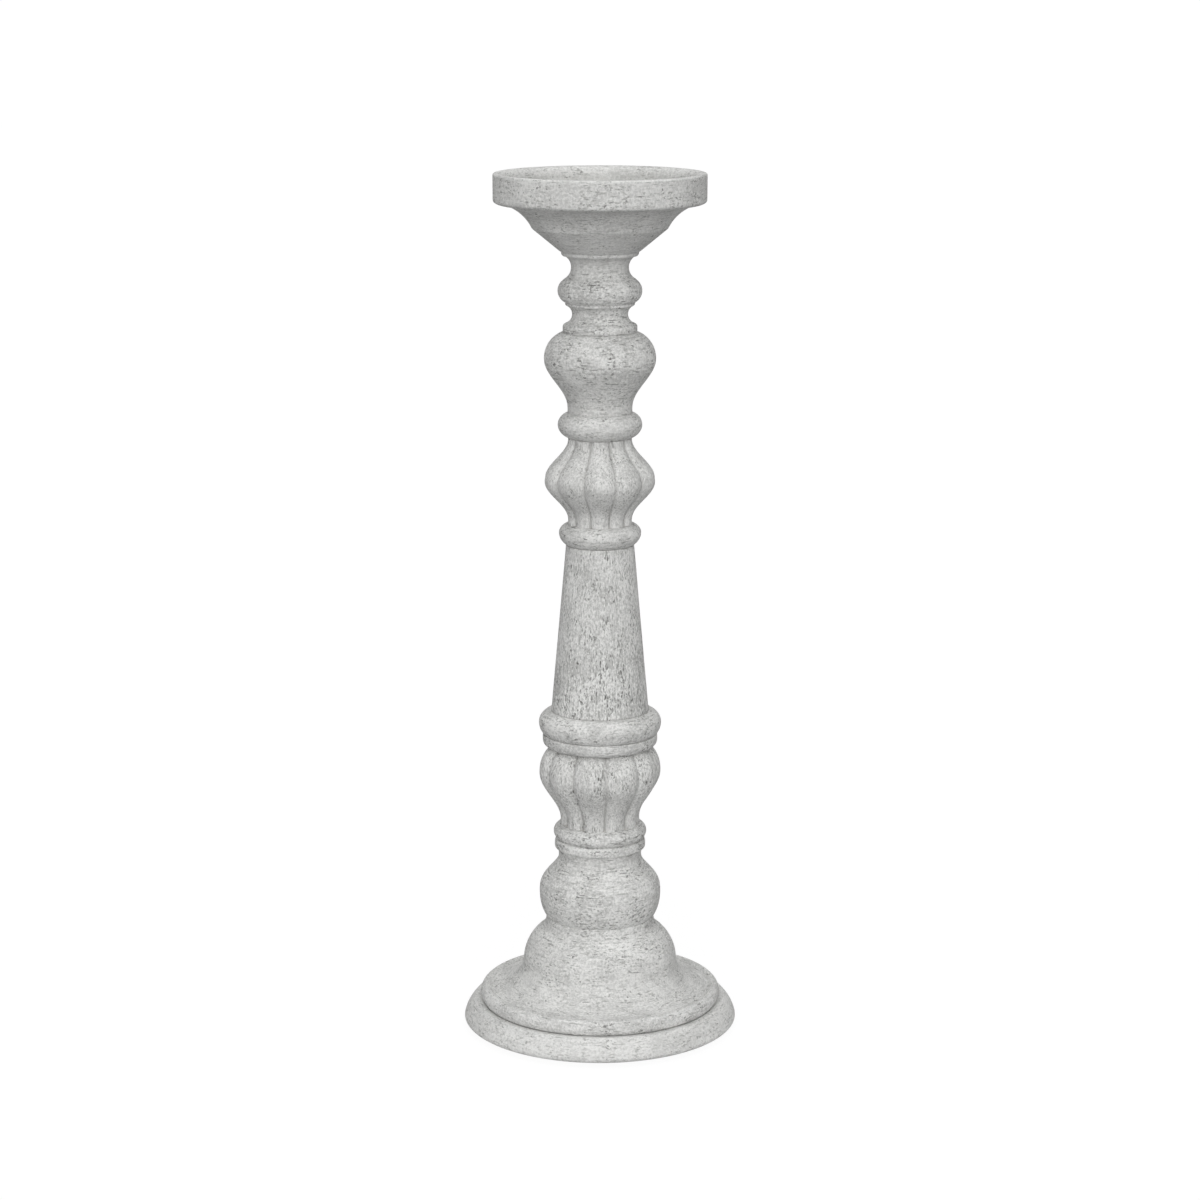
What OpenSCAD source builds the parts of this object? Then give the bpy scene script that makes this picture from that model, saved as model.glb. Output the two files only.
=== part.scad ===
// Turned and carved wooden candlestick for a pillar candle.
// Turned sections stand on one another, centred by short spigots, and one steel
// tie rod through their bores draws the whole stack together between two nuts.

/* [Dish] */
// Outer radius of the candle dish
dish_r = 55.2; // [54:0.1:60]
// Height of the dish's band
dish_h = 15.8; // [14:0.2:20]
// Radius of the candle recess
recess_r = 48.5; // [40:0.5:49]
// Depth of the candle recess
recess_h = 9.5; // [6:0.5:10]
// Depth of the rounded lip inside the rim
lip_h = 4.2; // [2:0.2:5]

/* [Bell] */
// Height of the bell under the dish
bell_h = 26.5; // [25.5:0.1:34]
// Radius at the foot of the bell
bell_foot_r = 20.1; // [19.6:0.1:22]
// Radius at the top of the bell's straight cone
bell_mid_r = 35; // [30:0.5:38]
// Radius of the bell where it meets the dish
bell_top_r = 50; // [44:0.5:51]

/* [Spindle under the bell] */
// Height of the spindle
spindle_h = 39.4; // [39:0.1:45]
// Radius of the spindle's bead
bead_r = 21.95; // [21:0.1:24]
// Radius of the square fillet at the spindle's foot
fillet_r = 19.4; // [18.8:0.1:21]

/* [Vase] */
// Height of the vase
vase_h = 42.4; // [41:0.2:48]
// Largest radius of the vase
vase_r = 29.15; // [26:0.1:33]
// Height of the ring under the vase
vase_ring_h = 13.1; // [12:0.1:16]
// Radius of the ring under the vase
vase_ring_r = 22.1; // [21:0.1:25]

/* [Upper melon] */
// Height of the upper melon
upper_h = 45.6; // [42:0.2:52]
// Radius over the crests of its ribs
upper_r = 29.75; // [27:0.05:34]
// Radius of its necks
upper_neck_r = 17.2; // [16.5:0.1:18.5]
// Height of the ring on top of the column
cap_h = 11.4; // [11:0.1:14]
// Radius of the ring on top of the column
cap_r = 21.6; // [20:0.1:24]

/* [Column] */
// Height of the plain column
column_h = 89.4; // [60:1:140]
// Radius at the foot of the column
column_foot_r = 25.85; // [24:0.1:26.5]
// Radius at the top of the column
column_top_r = 17.9; // [17:0.1:18.5]
// Height of the large torus at the column's foot
torus_h = 12.7; // [12:0.1:15]
// Radius of that torus
torus_r = 32.5; // [31:0.1:36]
// Height of the fillet band under the torus
band_h = 6.7; // [6:0.1:9]
// Radius of the fillet band
band_r = 30.5; // [29.5:0.1:32]

/* [Lower melon] */
// Height of the lower melon
lower_h = 42.8; // [40:0.2:50]
// Radius over the crests of its ribs
lower_r = 32.5; // [30:0.1:36]
// Radius of its neck
lower_neck_r = 21.1; // [20.2:0.1:22.2]
// Height of the collar under the lower melon
collar_h = 13.6; // [13:0.1:16]
// Radius of the collar's ring
collar_r = 24.85; // [24:0.1:28]

/* [Ribs] */
// Number of ribs round each melon
ribs = 10; // [8:1:14]
// Groove radius as a share of the crest radius
groove = 0.9; // [0.86:0.01:0.95]
// Turn of the lower melon's grooves, in degrees
lower_turn = 9; // [0:1:36]

/* [Ball and base] */
// Height of the ball with its neck
ball_h = 38.1; // [36:0.1:44]
// Radius of the ball
ball_r = 32.5; // [30:0.1:36]
// Radius of the ball's neck
ball_neck_r = 22.1; // [21:0.1:23]
// Height of the domed base
base_h = 47.1; // [46:0.1:56]
// Radius of the dome at its widest
dome_r = 41.1; // [38:0.1:44]
// Radius over the bead round the domed base
base_bead_r = 64.5; // [60:0.2:66]
// Height of the plinth's seat
plinth_h = 12.4; // [12:0.2:15]
// Radius of the plinth
plinth_r = 73.4; // [72:0.2:80]

/* [Joinery] */
// Radius of the centring spigots
spigot_r = 9; // [8:0.5:10]
// Height of the centring spigots
spigot_h = 7; // [5:0.5:8]
// Radial clearance between a spigot and its socket
spigot_gap = 0.1; // [0.05:0.05:0.3]
// Radius of the steel tie rod
rod_r = 3; // [2.5:0.5:4]
// Radius of the rod's bore through the wood
bore_r = 3.4; // [3.4:0.1:4.5]
// Radius of the washers
washer_r = 9; // [7:0.5:10]
// Thickness of the washers
washer_t = 1.6; // [1:0.2:2]
// Width of the nuts across the flats
nut_flats = 10; // [8:0.5:13]
// Height of the nuts
nut_h = 5; // [4:0.5:6]
// Radius of the pocket for a nut and washer
pocket_r = 11; // [10.5:0.5:12]
// Depth of the nut pocket under the plinth
foot_pocket_h = 8; // [7.6:0.2:9]

/* [Pads] */
// Radius of the felt pads
pad_r = 8; // [6:0.5:9]
// Thickness of the felt pads
pad_t = 2.5; // [2:0.5:4]
// How far the pads stand below the plinth
pad_proud = 1; // [0.5:0.5:2]
// Distance of the pads from the middle
pad_ring = 57; // [45:1:60]

/* [Hidden] */
$fn = 96;

pads = 4;
pad_gap = 0.1;
plug_t = 3;
plug_gap = 0.1;
tenon_r = 15;          // the dish's own tenon down into the bell
tenon_h = 12;
tenon_web = 7;         // wood left under the head washer
socket_r = spigot_r + spigot_gap;
socket_h = spigot_h + 1;
foot_round = 8;         // width of the rounding under the plinth's edge
foot_round_h = 3.6;     // and its height
shoulder = 1;          // the plinth's shoulder stands above its seat by this
rib_steps = 8;         // facets across one rib
rib_round = 0.94;      // how much of a half circle each rib's section spans
neck_cut = 0.3;        // extra share of groove depth at a melon's neck
tuck = 0.5;            // a ring against a neck stays inside the rib crests by this
lip_w = 4;             // width of the rounded lip inside the rim

// The foot of each section, from the bottom up
z_plinth = pad_proud;
z_base = z_plinth + plinth_h;
z_ball = z_base + base_h;
z_collar = z_ball + ball_h;
z_lower = z_collar + collar_h;
z_band = z_lower + lower_h;
z_torus = z_band + band_h;
z_column = z_torus + torus_h;
z_cap = z_column + column_h;
z_upper = z_cap + cap_h;
z_vase_ring = z_upper + upper_h;
z_vase = z_vase_ring + vase_ring_h;
z_spindle = z_vase + vase_h;
z_bell = z_spindle + spindle_h;
z_dish = z_bell + bell_h;
z_rim = z_dish + dish_h;
z_floor = z_rim - recess_h;
z_web = z_dish - tenon_h + tenon_web;
z_foot_seat = z_plinth + foot_pocket_h;

wood = [0.75, 0.75, 0.72];
raw_wood = [0.70, 0.64, 0.54];
steel = [0.62, 0.63, 0.65];
felt = [0.25, 0.24, 0.22];

// A stretch of an ellipse about c, from angle a0 to a1
function oval(c, rx, rz, a0, a1, n = 10) =
    [for (i = [0:n]) let (a = a0 + (a1 - a0) * i / n) [c[0] + rx * cos(a), c[1] + rz * sin(a)]];

// A circular arc from p to q that swells outwards by sag, or inwards where sag is negative
function bow(p, q, sag, n = 10) =
    let (dx = q[0] - p[0], dz = q[1] - p[1], chord = sqrt(dx * dx + dz * dz),
         out = [dz / chord, -dx / chord], half = 2 * atan(2 * abs(sag) / chord),
         r = chord / 2 / sin(half), sense = sag < 0 ? -1 : 1,
         mid = [(p[0] + q[0]) / 2, (p[1] + q[1]) / 2])
    [for (i = [0:n]) let (a = -half + 2 * half * i / n, t = 0.5 + r * sin(a) / chord,
                          h = sense * (r * cos(a) - r * cos(half)))
        [p[0] + dx * t + out[0] * h, p[1] + dz * t + out[1] * h]];

// Share of an S-shaped swell reached at t, with its steep part moved by skew
function swell(t, skew = 1) = (1 - cos(180 * pow(t, skew))) / 2;

// An S-shaped stretch from p to q
function flow(p, q, skew = 1, n = 14) =
    [for (i = [0:n]) let (t = i / n) [p[0] + (q[0] - p[0]) * swell(t, skew), p[1] + (q[1] - p[1]) * t]];

// The lower and upper ends of every section's outline, from the bore to the outside and back
function socket_end(z) = [[bore_r, z + socket_h], [socket_r, z + socket_h], [socket_r, z]];
function spigot_end(z) = [[spigot_r, z], [spigot_r, z + spigot_h], [bore_r, z + spigot_h]];

// A section turned from its side outline, bored for the rod, with a socket below and a spigot on top
module turned(z0, z1, side) {
    rotate_extrude() polygon(concat(socket_end(z0), side, spigot_end(z1)));
}

// A ring whose rounded side swells more below its middle than above it, or less
module ring(z0, z1, r, z_mid, drop_below, drop_above, r_below, r_above) {
    low = acos(1 - (r - r_below) / drop_below);
    high = acos(1 - (r - r_above) / drop_above);
    turned(z0, z1, concat([[r_below, z0]],
        oval([r - drop_below, z_mid], drop_below, (z_mid - z0) / sin(low), -low, 0, 8),
        oval([r - drop_above, z_mid], drop_above, (z1 - z_mid) / sin(high), 0, high, 8)));
}

// Radius round one rib: full at the crest, falling along an arc to a sharp valley
function rib(angle, turn) =
    let (u = abs(((angle - turn) * ribs / 360) % 1), off = abs(2 * u - 1),
         low = sqrt(1 - pow(rib_round, 2)))
    groove + (1 - groove) * (sqrt(1 - pow(rib_round * off, 2)) - low) / (1 - low);

// Side outline of a melon, before its ribs are cut
function upper_side() = concat(
    [[upper_neck_r, z_upper]],
    flow([upper_neck_r, z_upper + 2.4], [upper_r, z_upper + upper_h * 0.51], 1.05, 12),
    flow([upper_r, z_upper + upper_h * 0.51], [upper_neck_r, z_upper + upper_h - 1.2], 1, 12),
    [[upper_neck_r, z_upper + upper_h]]);
function lower_side() = concat(
    [[lower_neck_r, z_lower]],
    flow([lower_neck_r, z_lower + 2.6], [lower_r, z_lower + lower_h * 0.665], 1, 14),
    oval([lower_r - 10, z_lower + lower_h * 0.665], 10, lower_h * 0.35, 0, 73, 8));

// A ribbed solid swept round the axis from a side outline; its grooves run out at both ends
module melon(side, turn, neck_r, crest_r, z0, z1) {
    rows = len(side);
    around = ribs * rib_steps;
    function depth(r) = 1 + neck_cut * (crest_r - r) / (crest_r - neck_r);
    points = concat(
        [for (p = side) for (j = [0:around - 1])
            let (a = 360 * j / around, k = 1 - (1 - rib(a, turn)) * depth(p[0]))
            [p[0] * k * cos(a), p[0] * k * sin(a), p[1]]],
        [[0, 0, side[0][1]], [0, 0, side[rows - 1][1]]]);
    base_point = rows * around;
    faces = concat(
        [for (i = [0:rows - 2]) for (j = [0:around - 1])
            let (k = (j + 1) % around)
            [i * around + j, (i + 1) * around + j, (i + 1) * around + k]],
        [for (i = [0:rows - 2]) for (j = [0:around - 1])
            let (k = (j + 1) % around)
            [i * around + j, (i + 1) * around + k, i * around + k]],
        [for (j = [0:around - 1]) [base_point, j, (j + 1) % around]],
        [for (j = [0:around - 1])
            [base_point + 1, (rows - 1) * around + (j + 1) % around, (rows - 1) * around + j]]);
    difference() {
        union() {
            polyhedron(points, faces);
            translate([0, 0, z1 - 1]) cylinder(r = spigot_r, h = spigot_h + 1);
        }
        translate([0, 0, z0 - 1]) cylinder(r = socket_r, h = socket_h + 1);
        translate([0, 0, z0 - 1]) cylinder(r = bore_r, h = z1 - z0 + spigot_h + 2);
    }
}

module felt_pads() {
    color(felt) for (i = [0:pads - 1]) rotate(360 / pads * (i + 0.5))
        translate([pad_ring, 0, 0]) cylinder(r = pad_r, h = pad_t);
}

module plinth() {
    edge_z = z_plinth + foot_round_h;
    side = concat(
        [[pocket_r, z_foot_seat], [pocket_r, z_plinth]],
        oval([plinth_r - foot_round, edge_z], foot_round, foot_round_h, -90, 0, 8),
        bow([plinth_r, edge_z], [plinth_r - 5.8, z_base + shoulder], 0.95, 8),
        [[base_bead_r + 1.7, z_base + shoulder], [base_bead_r - 1, z_base]]);
    color(wood) difference() {
        rotate_extrude() polygon(concat([[bore_r, z_foot_seat]], side, spigot_end(z_base)));
        for (i = [0:pads - 1]) rotate(360 / pads * (i + 0.5))
            translate([pad_ring, 0, 0]) cylinder(r = pad_r + pad_gap, h = pad_t);
    }
}

module base() {
    bead = 3.1;
    bead_h = 4.3;
    bead_c = [base_bead_r - bead, z_base + bead_h];
    cove = [base_bead_r - 5.2, z_base + 23.5];
    cove_h = 16.2;
    shoulder_z = z_ball - 6.4;
    side = concat(
        oval(bead_c, bead, bead_h, -90, 125, 14),
        oval(cove, cove[0] - dome_r, cove_h, 270, 180, 12),
        bow([dome_r, cove[1] + 0.5], [31.7, shoulder_z], 2.1, 10),
        bow([31.7, shoulder_z], [29.2, z_ball - 2.5], -0.55, 5),
        [[28.9, z_ball - 0.9], [28.4, z_ball]]);
    color(wood) turned(z_base, z_ball, side);
}

module ball() {
    waist = 7;
    waist_h = 14.9;
    rise = 13.6;
    equator = z_ball + rise;
    neck = z_ball + ball_h - 4.4;
    side = concat(
        oval([ball_r - waist, equator], waist, waist_h, -asin(rise / waist_h), 0, 8),
        flow([ball_r, equator], [ball_neck_r, neck], 1.385, 16),
        bow([ball_neck_r, neck], [ball_neck_r + 0.8, z_collar], -0.3, 4));
    color(wood) turned(z_ball, z_collar, side);
}

module collar() {
    fillet = collar_r - 0.55;
    nip = z_collar + 5.1;
    mid = z_collar + 9.1;
    side = concat(
        bow([fillet - 0.8, z_collar], [fillet, z_collar + 1], 0.15, 3),
        bow([fillet, nip - 1.5], [fillet - 1.6, nip], 0.4, 4),
        oval([collar_r - 4.95, mid], 4.95, 4.4, -58, 80, 12));
    color(wood) turned(z_collar, z_lower, side);
}

module lower_melon() {
    color(wood) melon(lower_side(), lower_turn - 90, lower_neck_r, lower_r, z_lower, z_band);
}

module band() {
    side = concat(
        bow([band_r - 2.9, z_band], [band_r, z_band + 3.2], 0.7, 6),
        [[band_r, z_torus - 0.5], [band_r - 0.5, z_torus]]);
    color(wood) turned(z_band, z_torus, side);
}

module torus() {
    color(wood) ring(z_torus, z_column, torus_r, z_torus + 6.3, 4.5, 7.6, torus_r - 3, column_foot_r);
}

module column() {
    side = [[column_foot_r, z_column], [column_top_r, z_cap]];
    color(wood) turned(z_column, z_cap, side);
}

module cap_ring() {
    color(wood) ring(z_cap, z_upper, cap_r, z_cap + 6.6, 9.5, 6.5, column_top_r - 0.6, upper_neck_r - tuck);
}

module upper_melon() {
    color(wood) melon(upper_side(), -90 - 180 / ribs, upper_neck_r, upper_r, z_upper, z_vase_ring);
}

module vase_ring() {
    color(wood) ring(z_vase_ring, z_vase, vase_ring_r, z_vase_ring + 6.8, 9, 7, upper_neck_r - 0.9, 16.9);
}

module vase() {
    neck = 16.9;
    crown = 14;
    crown_h = 14.5;
    widest = z_spindle - 13.95;
    side = concat(
        [[neck, z_vase]],
        flow([neck, z_vase + 2.6], [vase_r, widest], 1.03, 14),
        oval([vase_r - crown, widest], crown, crown_h, 0, 73, 12));
    color(wood) turned(z_vase, z_spindle, side);
}

module spindle() {
    bead_z = z_spindle + 21.25;
    side = concat(
        [[fillet_r - 0.2, z_spindle], [fillet_r, z_spindle + 0.4],
         [fillet_r, z_spindle + 3.3], [fillet_r - 0.9, z_spindle + 4.1]],
        bow([fillet_r - 1.4, z_spindle + 4.3], [fillet_r - 1.8, z_spindle + 13.7], -3.3, 12),
        [[fillet_r - 1.3, z_spindle + 13.9], [fillet_r - 1.3, z_spindle + 15.2]],
        oval([bead_r - 7.35, bead_z], 7.35, 6.9, -57, 52, 14),
        bow([18.7, bead_z + 5.9], [17.8, z_bell - 0.5], -3.3, 14),
        [[18.2, z_bell]]);
    color(wood) turned(z_spindle, z_bell, side);
}

module bell() {
    cone_top = z_bell + 13.9;
    side = concat(
        [[bell_foot_r - 0.7, z_bell], [bell_foot_r, z_bell + 0.7], [bell_foot_r, z_bell + 2],
         [bell_foot_r + 0.9, z_bell + 2.4],
         [bell_mid_r, cone_top], [bell_mid_r + 0.4, cone_top + 0.4]],
        bow([bell_mid_r + 0.5, cone_top + 0.8], [bell_top_r, z_dish], -1.9, 12));
    tenon_socket = tenon_r + spigot_gap;
    color(wood) rotate_extrude() polygon(concat(socket_end(z_bell), side,
        [[tenon_socket, z_dish], [tenon_socket, z_dish - tenon_h - 0.5], [bore_r, z_dish - tenon_h - 0.5]]));
}

module dish() {
    corner = 4.2;
    corner_h = 2;
    edge = 0.8;
    outline = concat(
        [[bore_r, z_dish - tenon_h], [tenon_r, z_dish - tenon_h], [tenon_r, z_dish]],
        oval([dish_r - corner, z_dish + corner_h], corner, corner_h, -90, 0, 6),
        oval([dish_r - edge, z_rim - edge], edge, edge, 0, 90, 5),
        oval([recess_r + lip_w, z_rim - lip_h], lip_w, lip_h, 90, 180, 8),
        [[recess_r, z_floor], [pocket_r, z_floor], [pocket_r, z_web], [bore_r, z_web]]);
    color(wood) rotate_extrude() polygon(outline);
}

module tie_rod() {
    rod_foot = z_foot_seat - washer_t - nut_h - 1;
    rod_head = z_web + washer_t + nut_h + 1;
    color(steel) translate([0, 0, rod_foot]) cylinder(r = rod_r, h = rod_head - rod_foot);
}

// A plain washer on the rod, its lower face at z
module washer(z) {
    color(steel) translate([0, 0, z]) difference() {
        cylinder(r = washer_r, h = washer_t);
        translate([0, 0, -1]) cylinder(r = rod_r + 0.2, h = washer_t + 2);
    }
}

// A hexagonal nut on the rod, its lower face at z
module nut(z) {
    color(steel) translate([0, 0, z]) difference() {
        cylinder(r = nut_flats / 2 / cos(30), h = nut_h, $fn = 6);
        translate([0, 0, -1]) cylinder(r = rod_r, h = nut_h + 2);
    }
}

module foot_washer() { washer(z_foot_seat - washer_t); }
module foot_nut() { nut(z_foot_seat - washer_t - nut_h); }
module head_washer() { washer(z_web); }
module head_nut() { nut(z_web + washer_t); }

module cover_plug() {
    color(raw_wood) translate([0, 0, z_floor - plug_t]) cylinder(r = pocket_r - plug_gap, h = plug_t);
}

felt_pads();
plinth();
base();
ball();
collar();
lower_melon();
band();
torus();
column();
cap_ring();
upper_melon();
vase_ring();
vase();
spindle();
bell();
dish();
tie_rod();
foot_washer();
foot_nut();
head_washer();
head_nut();
cover_plug();
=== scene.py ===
import math
import bmesh
import bpy
import numpy as np
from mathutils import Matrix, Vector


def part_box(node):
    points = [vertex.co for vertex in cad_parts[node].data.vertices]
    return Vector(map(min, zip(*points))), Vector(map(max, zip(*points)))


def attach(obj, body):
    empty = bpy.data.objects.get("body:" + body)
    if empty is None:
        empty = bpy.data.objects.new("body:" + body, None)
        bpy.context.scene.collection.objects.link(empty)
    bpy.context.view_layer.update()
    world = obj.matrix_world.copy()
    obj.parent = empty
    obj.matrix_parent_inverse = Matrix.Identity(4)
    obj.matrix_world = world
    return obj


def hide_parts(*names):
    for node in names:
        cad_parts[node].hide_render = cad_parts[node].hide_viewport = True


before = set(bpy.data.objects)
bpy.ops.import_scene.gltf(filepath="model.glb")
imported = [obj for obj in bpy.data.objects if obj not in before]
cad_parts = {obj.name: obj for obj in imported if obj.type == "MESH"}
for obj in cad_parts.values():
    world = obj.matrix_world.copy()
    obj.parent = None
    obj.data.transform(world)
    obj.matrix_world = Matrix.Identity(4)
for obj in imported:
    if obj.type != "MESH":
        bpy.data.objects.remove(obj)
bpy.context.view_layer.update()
mm = 0.001
scene = bpy.context.scene
print("frame loaded:", len(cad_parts), "CAD nodes")


def linearColour(code):
    parts = [int(code[i:i + 2], 16) / 255 for i in (1, 3, 5)]
    return tuple(c / 12.92 if c <= 0.04045 else ((c + 0.055) / 1.055) ** 2.4 for c in parts) + (1,)


def addNode(tree, kind, values=None, **settings):
    # A value may be a number, a colour, an output socket, or a node whose first output is meant
    node = tree.nodes.new(kind)
    for key, value in settings.items():
        setattr(node, key, value)
    for key, value in (values or {}).items():
        if isinstance(value, bpy.types.Node):
            value = value.outputs[0]
        if isinstance(value, bpy.types.NodeSocket):
            tree.links.new(value, node.inputs[key])
        else:
            node.inputs[key].default_value = value
    return node


def newMaterial(name):
    material = bpy.data.materials.new(name)
    material.use_nodes = True
    tree = material.node_tree
    tree.nodes.clear()
    shader = addNode(tree, "ShaderNodeBsdfPrincipled")
    addNode(tree, "ShaderNodeOutputMaterial", {"Surface": shader})
    return material, tree, shader


# Where each section stands, in millimetres: the lowest face of its CAD node
sections = ["plinth", "base", "ball", "collar", "lower_melon", "band", "torus", "column", "cap_ring",
            "upper_melon", "vase_ring", "vase", "spindle", "bell"]
foot = {name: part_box(name)[0].z / mm for name in sections}
tenonLength = 12  # the dish's tenon hangs this far below the dish
foot["dish"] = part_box("dish")[0].z / mm + tenonLength
sections.append("dish")
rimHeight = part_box("dish")[1].z / mm
head = {a: foot[b] for a, b in zip(sections, sections[1:])}

joinery = {
    "boreRadius": 3.4,
    "spigotRadius": 9,
    "spigotHeight": 7,
    "socketRadius": 9.1,
    "socketDepth": 8,
    "tenonSocketRadius": 15.1,
    "tenonSocketDepth": 12.5,
    "pocketRadius": 11,   # for a nut and washer, under the plinth and in the dish
}


# Outlines are lists of (radius, height) in millimetres, walked from the foot up the outside

def ovalArc(centre, width, height, start, end, steps=16):
    angles = np.radians(np.linspace(start, end, steps + 1))
    return [(centre[0] + width * math.cos(a), centre[1] + height * math.sin(a)) for a in angles]


def bowArc(p, q, sag, steps=12):
    dx, dz = q[0] - p[0], q[1] - p[1]
    chord = math.hypot(dx, dz)
    half = 2 * math.atan(2 * abs(sag) / chord)
    radius = chord / 2 / math.sin(half)
    sense = -1 if sag < 0 else 1
    points = []
    for a in np.linspace(-half, half, steps + 1):
        t = 0.5 + radius * math.sin(a) / chord
        h = sense * radius * (math.cos(a) - math.cos(half))
        points.append((p[0] + dx * t + dz / chord * h, p[1] + dz * t - dx / chord * h))
    return points


def flowCurve(p, q, skew=1, steps=28):
    points = []
    for t in np.linspace(0, 1, steps + 1):
        share = (1 - math.cos(math.pi * t ** skew)) / 2
        points.append((p[0] + (q[0] - p[0]) * share, p[1] + (q[1] - p[1]) * t))
    return points


def ringSide(low, high, radius, middle, dropBelow, dropAbove, radiusBelow, radiusAbove):
    below = math.degrees(math.acos(1 - (radius - radiusBelow) / dropBelow))
    above = math.degrees(math.acos(1 - (radius - radiusAbove) / dropAbove))
    lowReach = (middle - low) / math.sin(math.radians(below))
    highReach = (high - middle) / math.sin(math.radians(above))
    return (ovalArc((radius - dropBelow, middle), dropBelow, lowReach, -below, 0)
            + ovalArc((radius - dropAbove, middle), dropAbove, highReach, 0, above))


def refine(side, step):
    # Even spacing along the outline, with every corner worn round by a few tenths of a millimetre
    points = np.array([p for i, p in enumerate(side) if i == 0 or math.dist(p, side[i - 1]) > 1e-4])
    run = np.concatenate([[0], np.cumsum(np.hypot(*np.diff(points, axis=0).T))])
    count = max(4, int(round(run[-1] / step)))
    even = np.linspace(0, run[-1], count + 1)
    fine = np.stack([np.interp(even, run, points[:, i]) for i in (0, 1)], axis=1)
    for _ in range(max(1, int(round((0.4 / step) ** 2 * 2)))):
        fine[1:-1] = fine[1:-1] * 0.5 + (fine[:-2] + fine[2:]) * 0.25
    return fine


def offsets(radius, height, steps):
    return [(radius + dr, height + dz) for dr, dz in steps]


sides = {}

plinthShape = {"radius": 73.4, "roundWidth": 8, "roundHeight": 3.6, "slope": 5.8, "slopeSag": 0.95,
               "shoulder": 1, "shoulderRadius": 66.2, "grooveRadius": 63.2, "grooveHeight": 0.5,
               "grooveWidth": 0.6, "pocketDepth": 8}
z = foot["plinth"]
p = plinthShape
roundCentre = (p["radius"] - p["roundWidth"], z + p["roundHeight"])
sides["plinth"] = (
    [(joinery["pocketRadius"], z), (p["radius"] - p["roundWidth"], z)]
    + ovalArc(roundCentre, p["roundWidth"], p["roundHeight"], -90, 0)
    + bowArc((p["radius"], z + p["roundHeight"]),
             (p["radius"] - p["slope"], head["plinth"] + p["shoulder"]), p["slopeSag"])
    + [(p["shoulderRadius"], head["plinth"] + p["shoulder"]),
       (p["grooveRadius"], head["plinth"] + p["grooveHeight"]),
       (p["grooveRadius"] - p["grooveWidth"], head["plinth"])])

baseShape = {"beadRadius": 64.5, "beadWidth": 3.1, "beadHeight": 4.3, "beadEnd": 125, "coveInset": 5.2,
             "coveHeight": 16.2, "domeFoot": 23.5, "domeRise": 0.5, "domeRadius": 41.1, "domeSag": 2.1,
             "turnRadius": 31.7, "turnDrop": 6.4, "neckRadius": 29.2, "neckDrop": 2.5, "neckSag": -0.55,
             "fillet": [(-0.3, -0.9), (-0.8, 0)]}
z = foot["base"]
p = baseShape
domeTurn = (p["turnRadius"], head["base"] - p["turnDrop"])
domeNeck = (p["neckRadius"], head["base"] - p["neckDrop"])
coveRadius = p["beadRadius"] - p["coveInset"]
sides["base"] = (
    ovalArc((p["beadRadius"] - p["beadWidth"], z + p["beadHeight"]), p["beadWidth"], p["beadHeight"],
            -90, p["beadEnd"])
    + ovalArc((coveRadius, z + p["domeFoot"]), coveRadius - p["domeRadius"], p["coveHeight"], 270, 180, 24)
    + bowArc((p["domeRadius"], z + p["domeFoot"] + p["domeRise"]), domeTurn, p["domeSag"], 20)
    + bowArc(domeTurn, domeNeck, p["neckSag"], 8)
    + offsets(p["neckRadius"], head["base"], p["fillet"]))

ballShape = {"radius": 32.5, "waist": 7, "waistHeight": 14.9, "equator": 13.6, "swell": 1.385,
             "neckRadius": 22.1, "neckDrop": 4.4, "jointFlare": 0.8, "jointSag": -0.3}
z = foot["ball"]
p = ballShape
neck = (p["neckRadius"], head["ball"] - p["neckDrop"])
cutAngle = math.degrees(math.asin(p["equator"] / p["waistHeight"]))
sides["ball"] = (
    ovalArc((p["radius"] - p["waist"], z + p["equator"]), p["waist"], p["waistHeight"], -cutAngle, 0)
    + flowCurve((p["radius"], z + p["equator"]), neck, p["swell"], 32)
    + bowArc(neck, (p["neckRadius"] + p["jointFlare"], head["ball"]), p["jointSag"], 6))

collarShape = {"radius": 24.85, "filletRadius": 24.3, "foot": [(-0.8, 0), (0, 1)], "footSag": 0.15,
               "nip": [(0, 3.6), (-1.6, 5.1)], "nipSag": 0.4, "ringHeight": 9.1, "ringWidth": 4.95,
               "ringReach": 4.4, "ringSpan": (-58, 80), "seatRadius": 20.9}
z = foot["collar"]
p = collarShape
sides["collar"] = (
    bowArc(*offsets(p["filletRadius"], z, p["foot"]), p["footSag"], 4)
    + bowArc(*offsets(p["filletRadius"], z, p["nip"]), p["nipSag"], 5)
    + ovalArc((p["radius"] - p["ringWidth"], z + p["ringHeight"]), p["ringWidth"], p["ringReach"],
              *p["ringSpan"])
    + [(p["seatRadius"], head["collar"])])

lowerMelonShape = {"radius": 32.5, "neckRadius": 21.1, "neckHeight": 2.6, "widest": 0.665,
                   "crownWidth": 10, "crownHeight": 0.35, "crownEnd": 73}
z = foot["lower_melon"]
p = lowerMelonShape
tall = head["lower_melon"] - z
widest = (p["radius"], z + tall * p["widest"])
sides["lower_melon"] = (
    [(p["neckRadius"], z)]
    + flowCurve((p["neckRadius"], z + p["neckHeight"]), widest)
    + ovalArc((p["radius"] - p["crownWidth"], widest[1]), p["crownWidth"], tall * p["crownHeight"],
              0, p["crownEnd"]))

bandShape = {"radius": 30.5, "coveWidth": 2.9, "coveHeight": 3.2, "coveSag": 0.7, "edge": 0.5}
z = foot["band"]
p = bandShape
sides["band"] = (
    bowArc((p["radius"] - p["coveWidth"], z), (p["radius"], z + p["coveHeight"]), p["coveSag"], 8)
    + [(p["radius"], head["band"] - p["edge"]), (p["radius"] - p["edge"], head["band"])])

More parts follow.
